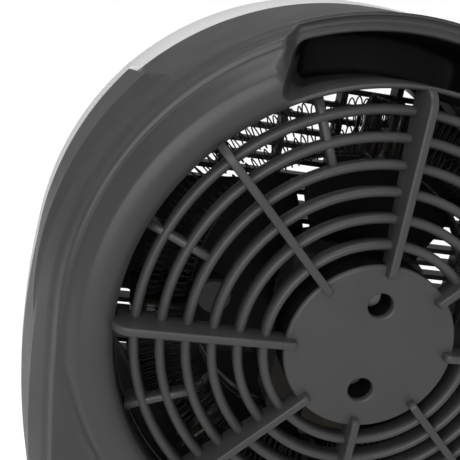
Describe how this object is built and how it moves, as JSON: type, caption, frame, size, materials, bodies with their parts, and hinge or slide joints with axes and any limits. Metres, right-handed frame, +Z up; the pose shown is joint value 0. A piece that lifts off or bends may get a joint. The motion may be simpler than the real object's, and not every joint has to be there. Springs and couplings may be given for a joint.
{
  "type": "fan heater",
  "caption": "Upright fan heater with a domed rear inlet grille, a finger pocket as its handle, a slatted outlet and two control knobs.",
  "frame": {"origin": "centre of the bounding box, at the bottom of the feet", "axes": "+Z up, +Y towards the rear inlet grille along the fan axis, -Y towards the outlet and the knobs"},
  "size_m": [0.2296, 0.141, 0.2565],
  "materials": {
    "dark_plastic": "satin",
    "pale_plastic": "satin",
    "grille_plastic": "satin",
    "panel_plastic": "gloss",
    "base_plastic": "satin",
    "rubber": "matte",
    "duct_steel": "satin",
    "zinc_steel": "satin",
    "bronze": "satin",
    "lamination": "matte",
    "coil_tape": "satin",
    "rotor_alloy": "satin",
    "shaft_steel": "polished",
    "fan_plastic": "satin",
    "mica": "matte",
    "element_wire": "oxidised",
    "black_phenolic": "matte",
    "knob_plastic": "satin",
    "lens": "gloss",
    "white_nylon": "satin",
    "screw_steel": "satin"
  },
  "bodies": {
    "housing": {"rear_shell": "dark_plastic", "rear_grille": "dark_plastic", "front_shell": "pale_plastic", "front_grille": "grille_plastic", "control_panel": "panel_plastic", "base_tray": "base_plastic", "rubber_feet": "rubber", "air_duct": "duct_steel", "motor_bracket": "zinc_steel", "motor_front_bracket": "zinc_steel", "motor_bearings": "bronze", "motor_stator": "lamination", "motor_coil": "coil_tape", "heater_frame": "mica", "element_terminals": "zinc_steel", "heating_coil_outer": "element_wire", "heating_coil_inner": "element_wire", "thermal_cutout": "black_phenolic", "thermal_fuse": "shaft_steel", "thermostat": "black_phenolic", "mode_switch": "black_phenolic", "pilot_lamp": "black_phenolic", "lamp_lens": "lens", "tip_switch": "black_phenolic", "tip_spring": "shaft_steel", "terminal_block": "white_nylon", "cord_gland": "rubber", "shell_screws": "screw_steel", "base_screws": "screw_steel", "motor_screws": "screw_steel"},
    "fan": {"motor_rotor": "rotor_alloy", "motor_shaft": "shaft_steel", "impeller": "fan_plastic", "impeller_nut": "shaft_steel"},
    "thermostat_dial": {"thermostat_knob": "knob_plastic"},
    "mode_dial": {"mode_knob": "knob_plastic"},
    "tip_button": {"tip_plunger": "white_nylon"}
  },
  "joints": [
    {"name": "fan_spin", "type": "hinge", "parent": "housing", "child": "fan", "pos_m": [0, 0.0065, 0.15], "axis": [0, 1, 0], "continuous": true},
    {"name": "thermostat_turn", "type": "hinge", "parent": "housing", "child": "thermostat_dial", "pos_m": [0.038, -0.0585, 0.0415], "axis": [0, 1, 0], "range_deg": [0, 270]},
    {"name": "mode_turn", "type": "hinge", "parent": "housing", "child": "mode_dial", "pos_m": [-0.038, -0.0585, 0.0415], "axis": [0, 1, 0], "range_deg": [0, 180]},
    {"name": "tip_press", "type": "slide", "parent": "housing", "child": "tip_button", "axis": [0, 0, -1], "range_m": [0, 0.004], "stiffness_N_per_m": 120, "springref_m": 0.006, "deforming": ["tip_spring"]}
  ]
}
